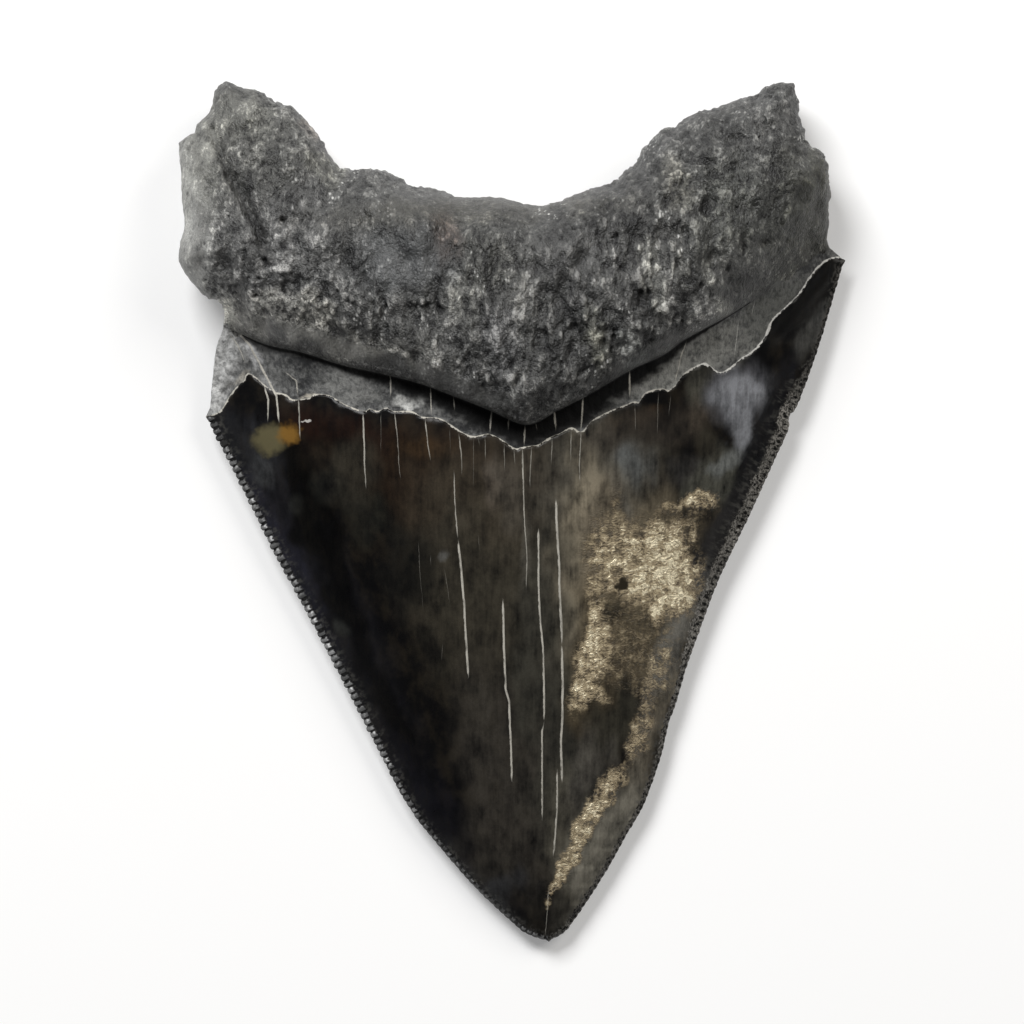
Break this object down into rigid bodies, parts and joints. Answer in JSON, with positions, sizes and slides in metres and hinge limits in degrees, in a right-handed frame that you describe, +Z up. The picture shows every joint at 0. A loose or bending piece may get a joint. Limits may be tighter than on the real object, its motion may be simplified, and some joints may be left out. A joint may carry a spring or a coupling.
{
  "type": "megalodon tooth",
  "caption": "Large fossil shark tooth with a two-lobed root and a serrated triangular crown, lying on its labial face.",
  "frame": {"origin": "middle of the bounding box in plan, on the surface that the tooth lies on", "axes": "+Y from the tip of the crown towards the root, +X to the right as seen from above with the root up, +Z up through the lingual face"},
  "size_m": [0.074, 0.0956, 0.0193],
  "materials": {
    "fossil": "grey pitted bone in the root, a thin chipped pale margin, and glossy near-black to bronze enamel with fine cracks in the crown"
  },
  "bodies": {
    "root": {"tooth": "fossil"}
  },
  "joints": []
}
